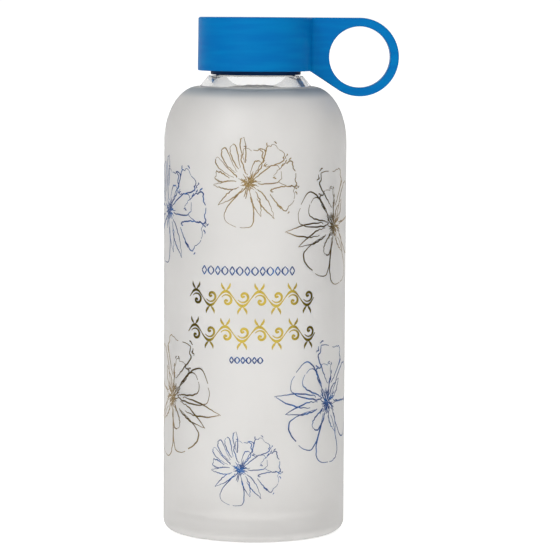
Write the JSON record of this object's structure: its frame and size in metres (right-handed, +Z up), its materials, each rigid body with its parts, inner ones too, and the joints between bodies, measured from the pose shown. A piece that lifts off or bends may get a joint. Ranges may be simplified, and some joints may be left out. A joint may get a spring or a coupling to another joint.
{
  "type": "glass water bottle",
  "caption": "Cylindrical frosted glass water bottle with a clear threaded neck and a screw-on plastic lid that has a round carry loop on one side.",
  "frame": {"origin": "on the bottle's axis, in the plane of the ring it stands on", "axes": "+Z up along the bottle's axis, +X from the axis towards the carry loop, and the loop's hole runs along Y"},
  "size_m": [0.0985, 0.077, 0.217],
  "materials": {
    "frosted_glass": "frosted outside, clear at the neck",
    "clear_glass": "clear",
    "insert_plastic": "dark navy, satin",
    "seal_silicone": "translucent silicone",
    "lid_plastic": "satin moulded plastic",
    "gold_foil": "hot-stamped foil",
    "blue_ink": "printed ink"
  },
  "bodies": {
    "bottle": {"glass_bottle": "frosted_glass"},
    "seal": {"seal_gasket": "seal_silicone"},
    "lid": {"thread_insert": "insert_plastic", "lid_cover": "lid_plastic"}
  },
  "joints": [
    {"name": "lid_lift", "type": "slide", "parent": "bottle", "child": "seal", "axis": [0, 0, 1], "range_m": [0, 0.021]},
    {"name": "lid_turn", "type": "hinge", "parent": "seal", "child": "lid", "pos_m": [0, 0, 0.194], "axis": [0, 0, 1], "range_deg": [0, 1800]}
  ],
  "couplings": [
    {"joint": "lid_lift", "follows": "lid_turn", "m_per_rad": 0.00066845}
  ]
}
